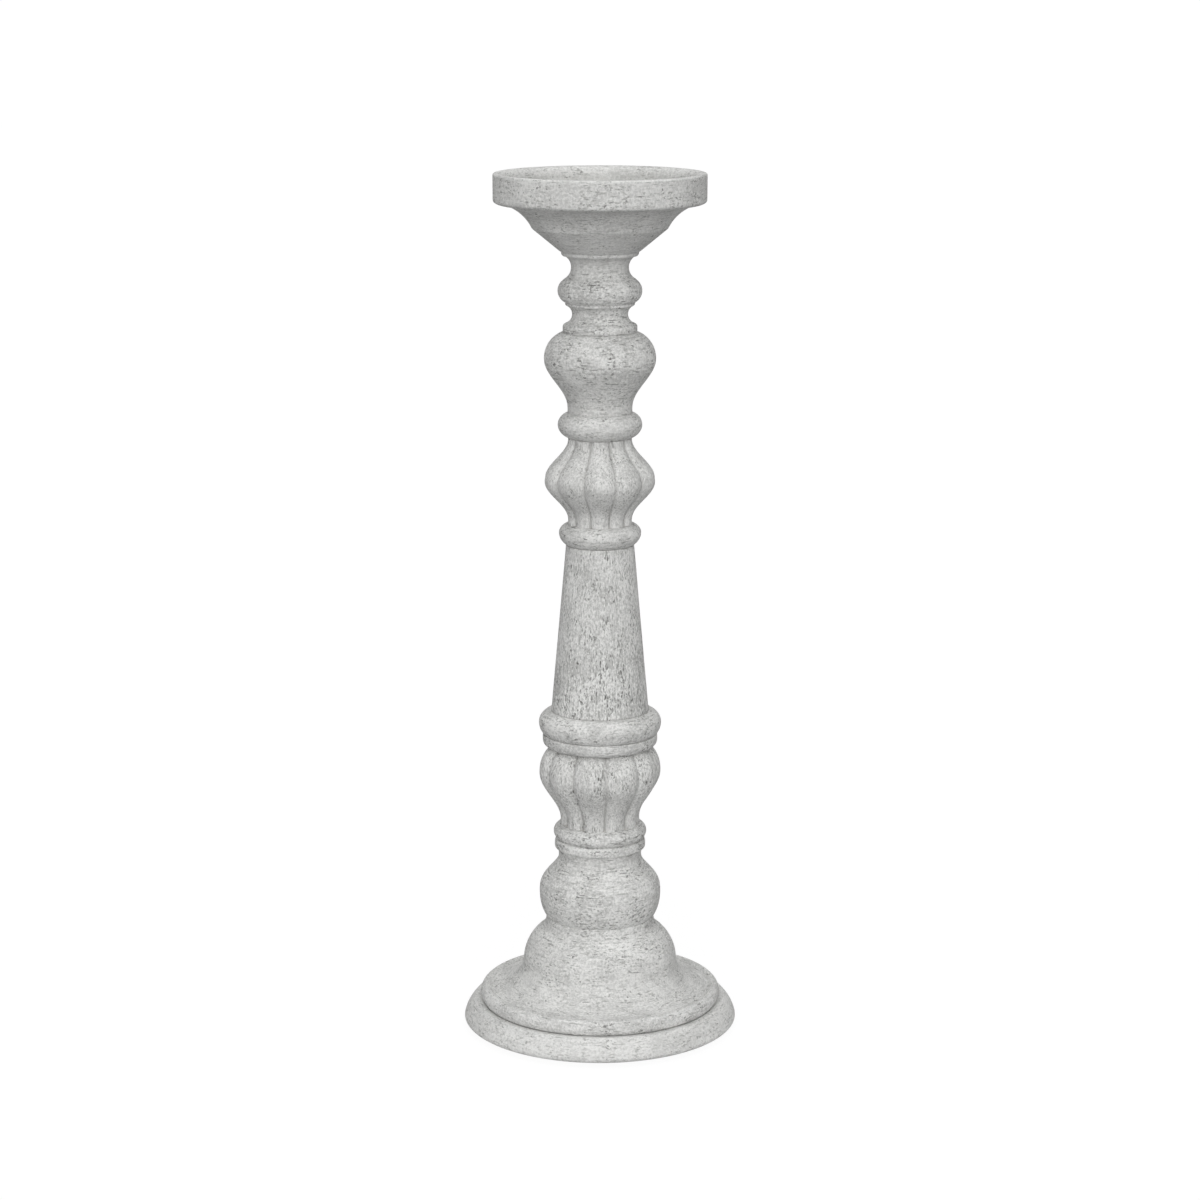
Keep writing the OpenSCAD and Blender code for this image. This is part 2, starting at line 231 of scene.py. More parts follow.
ringShapes = {  # radius, height of the widest place, drop below and above it, radius below and above
    "torus": (32.5, 6.3, 4.5, 7.6, 29.5, 25.85),
    "cap_ring": (21.6, 6.6, 9.5, 6.5, 17.3, 16.7),
    "vase_ring": (22.1, 6.8, 9, 7, 16.3, 16.9),
}
for name, (radius, middle, below, above, radiusBelow, radiusAbove) in ringShapes.items():
    sides[name] = ringSide(foot[name], head[name], radius, foot[name] + middle,
                           below, above, radiusBelow, radiusAbove)

columnShape = {"footRadius": 25.85, "headRadius": 17.9}
sides["column"] = [(columnShape["footRadius"], foot["column"]), (columnShape["headRadius"], head["column"])]

upperMelonShape = {"radius": 29.75, "neckRadius": 17.2, "lowNeck": 2.4, "highNeck": 1.2, "widest": 0.51,
                   "swell": 1.05}
z = foot["upper_melon"]
p = upperMelonShape
widest = (p["radius"], z + (head["upper_melon"] - z) * p["widest"])
sides["upper_melon"] = (
    [(p["neckRadius"], z)]
    + flowCurve((p["neckRadius"], z + p["lowNeck"]), widest, p["swell"])
    + flowCurve(widest, (p["neckRadius"], head["upper_melon"] - p["highNeck"]))
    + [(p["neckRadius"], head["upper_melon"])])

vaseShape = {"radius": 29.15, "neckRadius": 16.9, "neckHeight": 2.6, "swell": 1.03, "widestDrop": 13.95,
             "crownWidth": 14, "crownHeight": 14.5, "crownEnd": 73}
z = foot["vase"]
p = vaseShape
widest = (p["radius"], head["vase"] - p["widestDrop"])
sides["vase"] = (
    [(p["neckRadius"], z)]
    + flowCurve((p["neckRadius"], z + p["neckHeight"]), widest, p["swell"])
    + ovalArc((p["radius"] - p["crownWidth"], widest[1]), p["crownWidth"], p["crownHeight"],
              0, p["crownEnd"], 24))

spindleShape = {"filletRadius": 19.4, "fillet": [(-0.2, 0), (0, 0.4), (0, 3.3), (-0.9, 4.1)],
                "cove": [(-1.4, 4.3), (-1.8, 13.7)], "coveSag": -3.3,
                "beadFillet": [(-1.3, 13.9), (-1.3, 15.2)], "beadRadius": 21.95, "beadHeight": 21.25,
                "beadWidth": 7.35, "beadReach": 6.9, "beadSpan": (-57, 52), "throatFoot": (18.7, 5.9),
                "throatHead": (17.8, -0.5), "throatSag": -3.3, "headRadius": 18.2}
z = foot["spindle"]
p = spindleShape
bead = z + p["beadHeight"]
throat = offsets(0, bead, [p["throatFoot"]]) + offsets(0, head["spindle"], [p["throatHead"]])
sides["spindle"] = (
    offsets(p["filletRadius"], z, p["fillet"])
    + bowArc(*offsets(p["filletRadius"], z, p["cove"]), p["coveSag"], 16)
    + offsets(p["filletRadius"], z, p["beadFillet"])
    + ovalArc((p["beadRadius"] - p["beadWidth"], bead), p["beadWidth"], p["beadReach"], *p["beadSpan"], 24)
    + bowArc(*throat, p["throatSag"], 24)
    + [(p["headRadius"], head["spindle"])])

bellShape = {"footRadius": 20.1, "foot": [(-0.7, 0), (0, 0.7), (0, 2), (0.9, 2.4)], "coneRadius": 35,
             "coneHeight": 13.9, "step": [(0, 0), (0.4, 0.4), (0.5, 0.8)], "topRadius": 50, "topSag": -1.9}
z = foot["bell"]
p = bellShape
step = offsets(p["coneRadius"], z + p["coneHeight"], p["step"])
sides["bell"] = (
    offsets(p["footRadius"], z, p["foot"]) + step[:2]
    + bowArc(step[2], (p["topRadius"], head["bell"]), p["topSag"], 16))

dishShape = {"radius": 55.2, "cornerWidth": 4.2, "cornerHeight": 2, "cornerInset": 1, "edge": 0.8,
             "recessRadius": 48.5, "recessDepth": 9.5, "recessEdge": 0.6, "lipWidth": 4, "lipHeight": 4.2,
             "pocketEdge": 0.3, "tenonRadius": 15, "web": 7}
z = foot["dish"]
p = dishShape
recessFloor = rimHeight - p["recessDepth"]
cornerCentre = p["radius"] - p["cornerWidth"]
sides["dish"] = (
    [(cornerCentre - p["cornerInset"], z)]
    + ovalArc((cornerCentre, z + p["cornerHeight"]), p["cornerWidth"], p["cornerHeight"], -90, 0, 10)
    + ovalArc((p["radius"] - p["edge"], rimHeight - p["edge"]), p["edge"], p["edge"], 0, 90, 6)
    + ovalArc((p["recessRadius"] + p["lipWidth"], rimHeight - p["lipHeight"]), p["lipWidth"], p["lipHeight"],
              90, 180, 12)
    + [(p["recessRadius"], recessFloor + p["recessEdge"]),
       (p["recessRadius"] - p["recessEdge"], recessFloor),
       (joinery["pocketRadius"] + p["pocketEdge"], recessFloor),
       (joinery["pocketRadius"], recessFloor - p["pocketEdge"])])

sides = {name: refine(sides[name], 0.9 if name == "column" else 0.5) for name in sections}


def spread(values, run, width):
    # A Gaussian average of values along the outline, width in millimetres
    gap = run[:, None] - run[None, :]
    weight = np.exp(-0.5 * (gap / width) ** 2)
    weight *= np.gradient(run)[None, :]
    return (weight @ values) / weight.sum(1)[:, None]


# How far the turned outline lies inside its own average: a hollow gets glaze and painted shade, an edge is
# rubbed paler
wear = {
    "creaseWidth": 0.9, "creaseFull": 0.35,  # mm: the averages' width, the depth that counts as full
    "hollowWidth": 4, "hollowFull": 1.6,
    "recessReach": 1.2, "recessRise": 0.5, "recessRun": 80, "recessShade": 0.75,
    "filledReach": 2.5,
}
whole = np.concatenate([sides[name] for name in sections])
steps = np.maximum(np.hypot(*np.diff(whole, axis=0).T), 1e-3)
run = np.concatenate([[0], np.cumsum(steps)])
tangent = np.gradient(whole, run, axis=0)
tangent /= np.maximum(np.hypot(*tangent.T), 1e-6)[:, None]
outward = np.stack([tangent[:, 1], -tangent[:, 0]], axis=1)
crease = ((spread(whole, run, wear["creaseWidth"]) - whole) * outward).sum(1) / wear["creaseFull"]
hollow = ((spread(whole, run, wear["hollowWidth"]) - whole) * outward).sum(1) / wear["hollowFull"]
# Painted shade darkens the whole recess, and pale wash fills the joint under the base
inRecess = ((whole[:, 1] > recessFloor - wear["recessRise"]) & (run > run[-1] - wear["recessRun"])
            & (whole[:, 0] < dishShape["recessRadius"] + wear["recessReach"]))
crease[inRecess] += wear["recessShade"]
filledJoint = np.abs(whole[:, 1] - foot["base"]) < wear["filledReach"]
crease[filledJoint] = -np.abs(crease[filledJoint])
hollow[filledJoint] = 0
outlineData, first = {}, 0
for name in sections:
    last = first + len(sides[name])
    outlineData[name] = (run[first:last], crease[first:last].clip(-1, 1), hollow[first:last].clip(-1, 1))
    first = last
print("outlines drawn:", len(whole), "points")


def smoothShade(mesh, sharp=35):
    mesh.polygons.foreach_set("use_smooth", [True] * len(mesh.polygons))
    mesh.set_sharp_from_angle(angle=math.radians(sharp))


def latheMesh(name, outline, around, data=None, wobble=0, seed=0, sharp=35):
    # A closed outline swept round Z; data gives named values for each outline point
    outline = np.asarray(outline, float)
    data = data or {}
    rows = len(outline)
    angle = np.linspace(0, 2 * math.pi, around, endpoint=False)
    radius = np.repeat(outline[:, :1], around, axis=1)
    height = np.repeat(outline[:, 1:], around, axis=1)
    if wobble:
        rng = np.random.default_rng(seed)
        shift = np.zeros_like(radius)
        for turns in (2, 3, 5, 8, 13):
            size, start, lean = rng.uniform(0.4, 1), rng.uniform(0, 6.3), rng.uniform(-0.2, 0.2)
            shift += size / turns ** 0.5 * np.cos(turns * angle[None, :] + start + height * lean)
        radius = radius + wobble * shift * data.get("outer", np.ones(rows))[:, None]
    places = np.stack([radius * np.cos(angle) * mm, radius * np.sin(angle) * mm, height * mm], axis=2)
    i, j = np.meshgrid(np.arange(rows), np.arange(around), indexing="ij")
    ni, nj = (i + 1) % rows, (j + 1) % around
    corners = [i * around + j, i * around + nj, ni * around + nj, ni * around + j]
    quads = np.stack(corners, axis=2).reshape(-1, 4)
    mesh = bpy.data.meshes.new(name)
    mesh.from_pydata(places.reshape(-1, 3).tolist(), [], quads.tolist())
    for key, values in data.items():
        layer = mesh.attributes.new(key, "FLOAT", "POINT")
        layer.data.foreach_set("value", np.repeat(np.asarray(values, np.float32), around))
    mesh.update()
    if outline[:, 0].min() < 1e-6:  # an outline that reaches the axis closes there in one point
        work = bmesh.new()
        work.from_mesh(mesh)
        bmesh.ops.remove_doubles(work, verts=work.verts, dist=1e-7)
        bmesh.ops.dissolve_degenerate(work, dist=1e-7, edges=work.edges)
        work.to_mesh(mesh)
        work.free()
    smoothShade(mesh, sharp)
    return mesh


def placePiece(mesh, node, material):
    piece = bpy.data.objects.new(mesh.name, mesh)
    scene.collection.objects.link(piece)
    mesh.materials.clear()
    mesh.materials.append(material)
    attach(piece, "root")
    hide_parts(node)
    return piece


def applyTree(mesh, tree, inputs):
    # Runs a geometry tree on a mesh and gives back the plain result
    holder = bpy.data.objects.new(mesh.name + "_blank", mesh)
    scene.collection.objects.link(holder)
    modifier = holder.modifiers.new("tree", "NODES")
    modifier.node_group = tree
    ids = {item.name: item.identifier for item in tree.interface.items_tree if item.in_out == "INPUT"}
    for label, value in inputs.items():
        modifier[ids[label]] = value
    ready = holder.evaluated_get(bpy.context.evaluated_depsgraph_get())
    result = bpy.data.meshes.new_from_object(ready)
    holder.modifiers.remove(modifier)
    bpy.data.objects.remove(holder)
    result.name = mesh.name
    return result


def newTree(name, inputs):
    # An empty geometry tree with named inputs, ending where the caller links its Result
    tree = bpy.data.node_groups.new(name, "GeometryNodeTree")
    for label, kind in inputs:
        tree.interface.new_socket(label, in_out="INPUT", socket_type="NodeSocket" + kind)
    tree.interface.new_socket("Result", in_out="OUTPUT", socket_type="NodeSocketGeometry")
    return tree, addNode(tree, "NodeGroupInput").outputs


# Limed wood: open-grained wood brushed out along its grain, stained grey and wiped over with a thin
# white wash. The wash lies matt and chalky on the face, and the grey shows through it in short pores
# and in rubbed streaks. The hollows between mouldings are darkened by glaze and by painted shade.
limedWood = {
    "washPale": "#EFEFED",
    "washGrey": "#BFBFBD",
    "pore": "#6F6F6C",
    # this grey is the glaze and also the painted shade laid into creases, hollows and the dish's recess
    "glazeAndShade": "#8C8C89",
    "rubbed": "#EDEDEB",
    "bare": "#CDBB9A",        # inside the joints, where neither stain nor wash reaches
    "patterns": {             # millimetres across the grain and along it, detail, roughness, shift
        "cloud": (15, 24, 2, 0.5, 0.0),        # slow changes in how thick the wash lies
        "streak": (1.0, 11, 3, 0.6, 3.1),      # brush lines along the grain
        "clump": (1.0, 1.7, 3, 0.7, 7.7),      # grains of wash
        "pore": (0.75, 2.6, 2, 0.6, 1.9),
        "cluster": (6, 12, 2, 0.5, 5.3),       # where the pores lie close together
        "openPore": (0.95, 3.2, 1, 0.5, 9.4),  # the few large ones
        "hair": (0.45, 9, 1, 0.5, 12.6),       # fine splits
    },
    "grainRound": (1.4, 0.76, 0.27),  # size of the patterns across and along, and the glaze with painted shade in a crease
    "grainUp": (1.0, 0.9, 0.6),
    "masks": {                # pattern, value where the mask starts and is full, its share at each
        "face": ("clump", 0.30, 0.62, 0.6, 1.0),
        "pores": ("pore", 0.45, 0.35, 0.0, 1.0),
        "dense": ("cluster", 0.40, 0.62, 0.25, 1.0),
        "large": ("openPore", 0.345, 0.29, 0.0, 1.0),
        "sparse": ("cluster", 0.47, 0.58, 0.0, 1.0),
        "rub": ("clump", 0.30, 0.60, 0.05, 0.2),
        "hairs": ("hair", 0.33, 0.29, 0.0, 0.8),
        "matt": ("clump", 0.20, 0.80, 0.90, 0.76),
    },
    "thickness": {"cloud": 0.35, "streak": 0.45, "clump": 0.92},  # what each pattern adds to the wash
    "washRange": (0.66, 1.06),
    "poreShare": 0.7,
    "largeShare": 0.92,
    "creaseFrom": (0.15, 1.0),
    "hollowFrom": (0.1, 1.0),
    "hollowShare": 0.10,
    "edgeFrom": (-0.25, -1.0),
    "flaws": {                # two ends and half width in millimetres, share
        "split": ((1.5, -31, 144.8), (1.5, -31, 148.6), 0.5, 0.8),
        "scratch": ((45.9, -44, 20.6), (52.6, -40, 14.4), 0.35, 0.35),
        "nick": ((6.0, -16.1, 321.3), (6.8, -16.3, 318.2), 0.7, 0.65),
        "knot": ((-0.6, -26, 179.6), (-0.2, -26, 175.6), 0.55, 0.5),
    },
    "flawDepth": 0.15,        # how much of a flaw's distance counts from front to back
    "flawEdge": (1.3, 0.4),   # half widths from its middle where it starts and is full
    "relief": {"clump": 0.5, "streak": 0.45},
    "poreSink": -0.8,
    "reliefDepth": 0.14,      # millimetres
    "ior": 1.45,
    "specular": 0.25,
}


def makeLimedWood(name, spec, grainUp):
    material, tree, shader = newMaterial(name)
    place = addNode(tree, "ShaderNodeTexCoord").outputs["Object"]
    xyz = addNode(tree, "ShaderNodeSeparateXYZ", {0: place}).outputs
    along, crease, hollow, bare, weather = [
        addNode(tree, "ShaderNodeAttribute", attribute_name=key).outputs["Fac"]
        for key in ("along", "crease", "hollow", "bare", "weather")]
    grain = addNode(tree, "ShaderNodeCombineXYZ", {0: xyz[0], 1: xyz[1], 2: along})
    wider, longer, creaseShare = spec["grainUp" if grainUp else "grainRound"]
    lay = {}
    for key, (across, length, detail, rough, shift) in spec["patterns"].items():
        across, length = across * wider, length * longer
        side, rise = (across, length) if grainUp else (length, across)
        scaled = addNode(tree, "ShaderNodeMapping", {
            "Vector": grain, "Location": (shift, shift * 0.7, shift * 1.3),
            "Scale": (1 / (side * mm), 1 / (side * mm), 1 / (rise * mm))})
        lay[key] = addNode(tree, "ShaderNodeTexNoise", {
            "Vector": scaled, "Scale": 1, "Detail": detail, "Roughness": rough},
            noise_dimensions="3D").outputs["Fac"]
    shares = {"weather": weather}
    for key, (pattern, low, high, start, end) in spec["masks"].items():
        shares[key] = addNode(tree, "ShaderNodeMapRange", {
            "Value": lay[pattern], "From Min": low, "From Max": high, "To Min": start, "To Max": end},
            interpolation_type="SMOOTHSTEP")

    # Wash thickness from slow clouds, brush lines and grains together
    thick = 0.0
    for key, share in spec["thickness"].items():
        thick = addNode(tree, "ShaderNodeMath", {0: lay[key], 1: share, 2: thick}, operation="MULTIPLY_ADD")
    low, high = spec["washRange"]
    wash = addNode(tree, "ShaderNodeMapRange", {"Value": thick, "From Min": low, "From Max": high},
                   interpolation_type="SMOOTHSTEP")
    wash = addNode(tree, "ShaderNodeMath", {0: wash, 1: 0.5}, operation="SUBTRACT")
    wash = addNode(tree, "ShaderNodeMath", {0: wash, 1: weather, 2: 0.5}, operation="MULTIPLY_ADD")
    for key, operation, other in (("pores", "MULTIPLY", "dense"), ("pores", "MULTIPLY", "weather"),
                                  ("large", "MULTIPLY", "sparse"), ("large", "MAXIMUM", "hairs"),
                                  ("large", "MULTIPLY", "weather")):
        shares[key] = addNode(tree, "ShaderNodeMath", {0: shares[key], 1: shares[other]}, operation=operation)

    # Single flaws, each a line between two places on the front
    squash = spec["flawDepth"]
    flat = addNode(tree, "ShaderNodeVectorMath", {0: place, 1: (1, squash, 1)}, operation="MULTIPLY")
    for start, end, halfWidth, share in spec["flaws"].values():
        a, b = [(x * mm, y * mm * squash, z * mm) for x, y, z in (start, end)]
        line = tuple(q - p for p, q in zip(a, b))
        offset = addNode(tree, "ShaderNodeVectorMath", {0: flat, 1: a}, operation="SUBTRACT")
        reach = addNode(tree, "ShaderNodeVectorMath", {0: offset, 1: line}, operation="DOT_PRODUCT")
        reach = addNode(tree, "ShaderNodeMath", {0: reach.outputs["Value"], 1: sum(c * c for c in line)},
                        operation="DIVIDE", use_clamp=True)
        nearest = addNode(tree, "ShaderNodeVectorMath", {0: line, "Scale": reach}, operation="SCALE")
        away = addNode(tree, "ShaderNodeVectorMath", {0: offset, 1: nearest}, operation="DISTANCE")
        outer, inner = [halfWidth * edge * mm for edge in spec["flawEdge"]]
        flaw = addNode(tree, "ShaderNodeMapRange", {
            "Value": away.outputs["Value"], "From Min": outer, "From Max": inner, "To Max": share})
        shares["large"] = addNode(tree, "ShaderNodeMath", {0: shares["large"], 1: flaw}, operation="MAXIMUM")
    poreShare, largeShare = [
        addNode(tree, "ShaderNodeMath", {0: shares[key], 1: spec[share]}, operation="MULTIPLY")
        for key, share in (("pores", "poreShare"), ("large", "largeShare"))]

    # Glaze and painted shade darken creases and hollows, and sharp edges are rubbed a little paler
    held = {}
    for key, value, share in (("crease", crease, creaseShare), ("hollow", hollow, spec["hollowShare"]),
                              ("edge", crease, 1.0)):
        low, high = spec[key + "From"]
        held[key] = addNode(tree, "ShaderNodeMapRange", {
            "Value": value, "From Min": low, "From Max": high, "To Max": share}, interpolation_type="SMOOTHSTEP")
    glazeAndShade = addNode(tree, "ShaderNodeMath", {0: held["crease"], 1: held["hollow"]}, operation="ADD")
    glazeAndShade = addNode(tree, "ShaderNodeMath", {0: glazeAndShade, 1: shares["face"]}, operation="MULTIPLY")
    rubbed = addNode(tree, "ShaderNodeMath", {0: held["edge"], 1: shares["rub"]}, operation="MULTIPLY")
    colour = linearColour(spec["washGrey"])
    for code, share in (("washPale", wash), ("pore", poreShare), ("pore", largeShare), ("glazeAndShade", glazeAndShade),
                        ("rubbed", rubbed), ("bare", bare)):
        colour = addNode(tree, "ShaderNodeMix", {0: share, 6: colour, 7: linearColour(spec[code])},
                         data_type="RGBA").outputs[2]
    tree.links.new(colour, shader.inputs["Base Color"])

    sunk = addNode(tree, "ShaderNodeMath", {0: shares["pores"], 1: shares["large"]}, operation="MAXIMUM")
    surface = addNode(tree, "ShaderNodeMath", {0: sunk, 1: spec["poreSink"], 2: 0.0}, operation="MULTIPLY_ADD")
    for key, share in spec["relief"].items():
        surface = addNode(tree, "ShaderNodeMath", {0: lay[key], 1: share, 2: surface}, operation="MULTIPLY_ADD")
    bump = addNode(tree, "ShaderNodeBump", {
        "Strength": 1, "Distance": spec["reliefDepth"] * mm, "Height": surface})
    tree.links.new(bump.outputs[0], shader.inputs["Normal"])
    tree.links.new(shares["matt"].outputs[0], shader.inputs["Roughness"])
    shader.inputs["IOR"].default_value = spec["ior"]
    shader.inputs["Specular IOR Level"].default_value = spec["specular"]
    return material


turnedFinish = makeLimedWood("limed_wood_grain_round", limedWood, False)
uprightFinish = makeLimedWood("limed_wood_grain_up", limedWood, True)
print("limed wood mixed")

around = {"plinth": 288, "base": 288, "dish": 288, "bell": 256, "lower_melon": 400, "upper_melon": 400}
grainUp = ("column", "lower_melon", "upper_melon")
handWobble = 0.05  # millimetres
weatherOf = {  # how open and speckled the finish is at each section's foot, middle and head
    "plinth": (0.7, 0.6, 0.65), "base": (0.8, 0.75, 1.0), "ball": (0.9, 1.0, 0.85), "collar": (1, 1, 1),
    "lower_melon": (0.85, 1.0, 1.2), "band": (0.9, 0.9, 0.9), "torus": (0.9, 0.85, 0.9),
    "column": (1.5, 1.1, 1.0), "cap_ring": (0.9, 0.85, 0.9), "upper_melon": (0.85, 0.8, 0.85),
    "vase_ring": (0.8, 0.7, 0.8), "vase": (0.7, 0.95, 1.0), "spindle": (0.9, 1.25, 0.5),
    "bell": (0.6, 0.75, 0.75), "dish": (0.8, 0.68, 0.7),
}


def sectionOutline(name):
    # The visible side between the section's own joint faces, bore, socket and spigot
    j, d = joinery, dishShape
    low, high = foot[name], head.get(name)
    socketTop = low + j["socketDepth"]
    socket = [(j["boreRadius"], socketTop), (j["socketRadius"], socketTop), (j["socketRadius"], low)]
    if name == "plinth":
        depth = plinthShape["pocketDepth"]
        socket = [(j["boreRadius"], low + depth), (j["pocketRadius"], low + depth)]
    if name == "dish":
        tip = low - tenonLength
        socket = [(j["boreRadius"], tip), (d["tenonRadius"], tip), (d["tenonRadius"], low)]
        top = [(j["pocketRadius"], tip + d["web"]), (j["boreRadius"], tip + d["web"])]
    elif name == "bell":
        floorLevel = high - j["tenonSocketDepth"]
        top = [(j["tenonSocketRadius"], high), (j["tenonSocketRadius"], floorLevel),
               (j["boreRadius"], floorLevel)]
    else:
        tip = high + j["spigotHeight"]
        top = [(j["spigotRadius"], high), (j["spigotRadius"], tip), (j["boreRadius"], tip)]
    runs, creases, hollows = outlineData[name]
    reach = np.minimum(runs - runs[0], runs[-1] - runs)
    before, after = len(socket), len(top)
    weather = np.interp(np.linspace(0, 1, len(runs)), (0, 0.5, 1), weatherOf[name])
    sideValues = {"along": runs * mm, "crease": creases, "hollow": hollows,
                  "outer": np.minimum(reach / 2, 1), "bare": np.zeros(len(runs)), "weather": weather}
    endValues = {"along": (runs[0] * mm, runs[-1] * mm), "bare": (1, 1)}
    data = {}
    for key, values in sideValues.items():
        start, end = endValues.get(key, (0, 0))
        data[key] = np.concatenate([np.full(before, start), values, np.full(after, end)])
    return np.concatenate([socket, sides[name], top]), data


meshes = {}
for number, name in enumerate(sections):
    outline, data = sectionOutline(name)
    meshes[name] = latheMesh(name + "_turned", outline, around.get(name, 224), data, handWobble, number + 1)
print("sections turned:", sum(len(m.polygons) for m in meshes.values()), "faces")


# Melons: the turned blank is cut into rounded ribs by a rule round the axis
# The glaze share of each melon is glaze and painted groove shade at the widest place
melonRibs = {
    "lower_melon": {"Turn": 7.5 - 90, "Glaze And Shade": 0.3, "Seed": 4},
    "upper_melon": {"Turn": -90 - 18, "Glaze And Shade": 0.45, "Seed": 9},
}
for name, shape in (("lower_melon", lowerMelonShape), ("upper_melon", upperMelonShape)):
    melonRibs[name].update({
        "Ribs": 10, "Groove Share": 0.9, "Neck Radius": shape["neckRadius"], "Crest Radius": shape["radius"],
        "Neck Cut": 0.3, "Roundness": 0.92, "Wander": 1.1, "Uneven": 0.25})
driftScale = 45.0  # per metre

# Key, operation and terms of each sum, in order; a term is a number, an input or an earlier key
ribSums = (
    ("angle", "ARCTAN2", "y", "x"),
    # A carver's hand: each groove strays a little along its length
    ("drift", "SUBTRACT", "drift", 0.5),
    ("stray", "MULTIPLY", "Wander", 2.0),
    ("drift", "MULTIPLY", "drift", "stray"),
    ("turned", "SUBTRACT", "angle", "Turn"),
    ("turned", "ADD", "turned", "drift"),
    ("perTurn", "DIVIDE", "Ribs", 2 * math.pi),
    ("count", "MULTIPLY", "turned", "perTurn"),
    ("share", "FRACT", "count"),
    ("off", "MULTIPLY_ADD", "share", 2.0, -1.0),
    ("off", "ABSOLUTE", "off"),  # 0 on a crest, 1 in a groove
    # Section of a rib: an arc that meets its neighbour in a valley
    ("bend", "MULTIPLY", "off", "Roundness"),
    ("bend", "POWER", "bend", 2.0),
    ("bend", "SUBTRACT", 1.0, "bend"),
    ("bend", "SQRT", "bend"),
    ("low", "POWER", "Roundness", 2.0),
    ("low", "SUBTRACT", 1.0, "low"),
    ("low", "SQRT", "low"),
    ("fall", "SUBTRACT", 1.0, "bend"),
    ("room", "SUBTRACT", 1.0, "low"),
    ("fall", "DIVIDE", "fall", "room"),
    ("near", "ADD", "count", 0.5),
    ("groove", "FLOOR", "near"),
    ("groove", "FLOORED_MODULO", "groove", "Ribs"),
)
cutSums = (
    # Grooves are cut deeper at the necks, run out under the rings, and no two are quite alike
    ("depth", "MULTIPLY_ADD", "rise", "Neck Cut", 1.0),
    ("uneven", "SUBTRACT", "chance", 0.5),
    ("uneven", "MULTIPLY_ADD", "uneven", "Uneven", 1.0),
    ("depth", "MULTIPLY", "depth", "uneven"),
    ("side", "LESS_THAN", "bare", 0.5),
    ("depth", "MULTIPLY", "depth", "side"),
    ("cut", "SUBTRACT", 1.0, "Groove Share"),
    ("cut", "MULTIPLY", "cut", "fall"),
    ("cut", "MULTIPLY", "cut", "depth"),
    ("keep", "SUBTRACT", 1.0, "cut"),
    # Glaze and painted shade darken a groove, most of all at the necks, where no hand rubs
    ("line", "POWER", "off", 5.5),
    ("line", "MULTIPLY", "line", "neckGlazeAndShade"),
    ("line", "MULTIPLY", "line", "side"),
    ("line", "MAXIMUM", "crease", "line"),
)


def ribTree():
    tree, source = newTree("carveRibs", (
        ("Blank", "Geometry"), ("Ribs", "Int"), ("Groove Share", "Float"), ("Turn", "Float"),
        ("Neck Radius", "Float"), ("Crest Radius", "Float"), ("Neck Cut", "Float"), ("Roundness", "Float"),
        ("Wander", "Float"), ("Uneven", "Float"), ("Glaze And Shade", "Float"), ("Seed", "Int"), ("Finish", "Material")))
    known = {socket.name: socket for socket in source}
    place = addNode(tree, "GeometryNodeInputPosition")
    known["x"], known["y"], _ = addNode(tree, "ShaderNodeSeparateXYZ", {0: place}).outputs
    known["drift"] = addNode(tree, "ShaderNodeTexNoise", {
        "Vector": place, "W": source["Seed"], "Scale": driftScale, "Detail": 1.0},
        noise_dimensions="4D").outputs["Fac"]
    for key in ("bare", "crease"):
        known[key] = addNode(tree, "GeometryNodeInputNamedAttribute", {"Name": key},
                             data_type="FLOAT").outputs["Attribute"]
    for key, operation, *terms in ribSums:
        values = {i: known.get(term, term) for i, term in enumerate(terms)}
        known[key] = addNode(tree, "ShaderNodeMath", values, operation=operation)
    radius = addNode(tree, "ShaderNodeCombineXYZ", {0: known["x"], 1: known["y"]})
    radius = addNode(tree, "ShaderNodeVectorMath", {0: radius}, operation="LENGTH").outputs["Value"]
    known["rise"] = addNode(tree, "ShaderNodeMapRange", {
        "Value": radius, "From Min": source["Neck Radius"], "From Max": source["Crest Radius"],
        "To Min": 1.0, "To Max": 0.0})
    # painted groove shade with glaze, weakest at the widest place and strongest at the necks
    known["neckGlazeAndShade"] = addNode(tree, "ShaderNodeMapRange", {
        "Value": known["rise"], "From Min": 0.1, "From Max": 0.9, "To Min": source["Glaze And Shade"], "To Max": 0.9})
    known["chance"] = addNode(tree, "FunctionNodeRandomValue", {
        2: 0.0, 3: 1.0, "ID": known["groove"], "Seed": source["Seed"]}, data_type="FLOAT").outputs[1]
    for key, operation, *terms in cutSums:
        values = {i: known.get(term, term) for i, term in enumerate(terms)}
        known[key] = addNode(tree, "ShaderNodeMath", values, operation=operation)
    scale = addNode(tree, "ShaderNodeCombineXYZ", {0: known["keep"], 1: known["keep"], 2: 1.0})
    target = addNode(tree, "ShaderNodeVectorMath", {0: place, 1: scale}, operation="MULTIPLY")
    moved = addNode(tree, "GeometryNodeSetPosition", {"Geometry": source["Blank"], "Position": target})
    stored = addNode(tree, "GeometryNodeStoreNamedAttribute", {
        "Geometry": moved, "Name": "crease", "Value": known["line"]}, data_type="FLOAT", domain="POINT")
    real = addNode(tree, "GeometryNodeRealizeInstances", {"Geometry": stored})
    dressed = addNode(tree, "GeometryNodeSetMaterial", {"Geometry": real, "Material": source["Finish"]})
    addNode(tree, "NodeGroupOutput", {"Result": dressed})
    return tree


carveRibs = ribTree()
for name, ribs in melonRibs.items():
    inputs = dict(ribs, Finish=uprightFinish)
    for key in ("Turn", "Wander"):
        inputs[key] = math.radians(inputs[key])
    for key in ("Neck Radius", "Crest Radius"):
        inputs[key] *= mm
    meshes[name] = applyTree(meshes[name], carveRibs, inputs)
    smoothShade(meshes[name], 40)
print("ribs carved")


